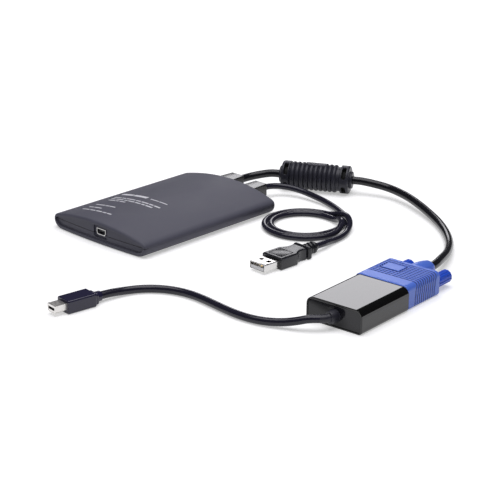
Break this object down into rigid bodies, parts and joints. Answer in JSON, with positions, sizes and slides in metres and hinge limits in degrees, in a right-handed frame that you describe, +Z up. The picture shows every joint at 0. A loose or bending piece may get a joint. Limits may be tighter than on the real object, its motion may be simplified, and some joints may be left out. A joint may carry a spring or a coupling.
{
  "type": "kvm console with vga adapter and leads",
  "caption": "Pocket KVM console with captive VGA and USB leads, its VGA plug mated to a mini-DisplayPort adapter with a lead of its own.",
  "frame": {"origin": "under the middle of the console housing, on the surface that it lies on", "axes": "+Y along the console towards its two leads, +Z up"},
  "size_m": [0.2441, 0.2832, 0.0183],
  "materials": {
    "soft_touch_black": "soft-touch coated ABS",
    "screw_steel": "black zinc",
    "board_laminate": "solder mask",
    "chip_epoxy": "moulded epoxy",
    "crystal_can": "drawn can",
    "header_nylon": "natural nylon",
    "plug_steel": "nickel-plated steel",
    "insulator_black": "moulded",
    "insulator_white": "moulded",
    "insulator_blue": "moulded",
    "contact_gold": "gold flash",
    "moulded_black": "satin PVC",
    "ferrite": "sintered",
    "gloss_black": "polished ABS",
    "satin_black": "satin ABS",
    "blue_pvc": "satin PVC",
    "cord_sheath": "satin PVC sheath"
  },
  "bodies": {
    "console_and_leads": {"adapter_board": "board_laminate", "adapter_end_cap": "satin_black", "adapter_sleeve": "gloss_black", "adapter_strain_relief": "moulded_black", "choke_core": "ferrite", "choke_overmould": "moulded_black", "clock_crystal": "crystal_can", "console_bottom_shell": "soft_touch_black", "console_screws": "screw_steel", "console_top_shell": "soft_touch_black", "converter_chip": "chip_epoxy", "flash_memory": "chip_epoxy", "frame_memory": "chip_epoxy", "main_board": "board_laminate", "mdp_cord": "cord_sheath", "mdp_overmould": "gloss_black", "mdp_shell": "plug_steel", "mdp_tongue": "insulator_black", "mini_usb_shell": "plug_steel", "mini_usb_tongue": "insulator_black", "usb_bridge": "chip_epoxy", "usb_coil": "cord_sheath", "usb_cord_lead": "cord_sheath", "usb_cord_tail": "cord_sheath", "usb_gland": "moulded_black", "usb_header": "header_nylon", "usba_contacts": "contact_gold", "usba_insulator": "insulator_white", "usba_overmould": "moulded_black", "usba_shell": "plug_steel", "vga_cord": "cord_sheath", "vga_cord_in_choke": "cord_sheath", "vga_cord_lead": "cord_sheath", "vga_gland": "moulded_black", "vga_hood": "blue_pvc", "vga_plug_insulator": "insulator_blue", "vga_plug_pins": "contact_gold", "vga_plug_shell": "plug_steel", "vga_socket_insulator": "insulator_blue", "vga_socket_nuts": "plug_steel", "vga_socket_shell": "plug_steel", "video_digitiser": "chip_epoxy", "video_header": "header_nylon"},
    "thumbscrew_left": {"thumbscrew_knob_left": "blue_pvc", "thumbscrew_shank_left": "plug_steel"},
    "thumbscrew_right": {"thumbscrew_knob_right": "blue_pvc", "thumbscrew_shank_right": "plug_steel"}
  },
  "joints": [
    {"name": "thumbscrew_left_turn", "type": "hinge", "parent": "console_and_leads", "child": "thumbscrew_left", "pos_m": [0.1669, 0.01875, 0.0058], "axis": [-0.0767, 0.9971, 0], "continuous": true},
    {"name": "thumbscrew_right_turn", "type": "hinge", "parent": "console_and_leads", "child": "thumbscrew_right", "pos_m": [0.19183, 0.02067, 0.0058], "axis": [-0.0767, 0.9971, 0], "continuous": true}
  ]
}
